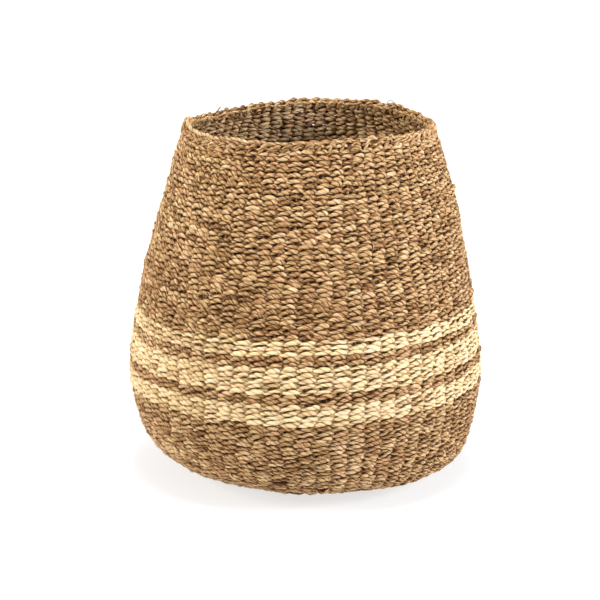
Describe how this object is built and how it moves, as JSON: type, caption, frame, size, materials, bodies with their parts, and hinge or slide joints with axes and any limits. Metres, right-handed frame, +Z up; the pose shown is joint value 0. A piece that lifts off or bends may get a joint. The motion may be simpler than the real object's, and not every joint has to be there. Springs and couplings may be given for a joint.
{
  "type": "woven market basket",
  "caption": "Round belly-shaped basket of twined grass cord with an open, leaning-in mouth and bleached bands, for carrying and storing goods.",
  "frame": {"origin": "on the ground, under the middle of the floor", "axes": "+Z up through the mouth; +X and +Y are across the round body"},
  "size_m": [0.4, 0.4, 0.4006],
  "materials": {
    "natural_weft": "matte dried-grass cord, tan with darker fibres",
    "bleached_weft": "matte bleached grass cord, cream",
    "stake_cord": "matte dried-grass cord, darker tan",
    "border_cord": "matte dried-grass cord, light tan"
  },
  "bodies": {
    "root": {"base_start_knot": "natural_weft", "base_weft_inner": "natural_weft", "base_weft_middle": "natural_weft", "base_weft_outer": "natural_weft", "corner_weft_lower": "natural_weft", "corner_weft_upper": "natural_weft", "belly_weft": "natural_weft", "pale_band_lower": "bleached_weft", "stripe_lower": "natural_weft", "pale_band_middle": "bleached_weft", "stripe_upper": "natural_weft", "pale_band_upper": "bleached_weft", "wall_weft_first": "natural_weft", "wall_weft_second": "natural_weft", "wall_weft_third": "natural_weft", "wall_weft_fourth": "natural_weft", "wall_weft_fifth": "natural_weft", "stakes_first": "stake_cord", "stakes_second": "stake_cord", "stakes_third": "stake_cord", "rim_cord_outer": "border_cord", "rim_cord_inner": "border_cord", "stake_turnovers": "stake_cord"}
  },
  "joints": []
}
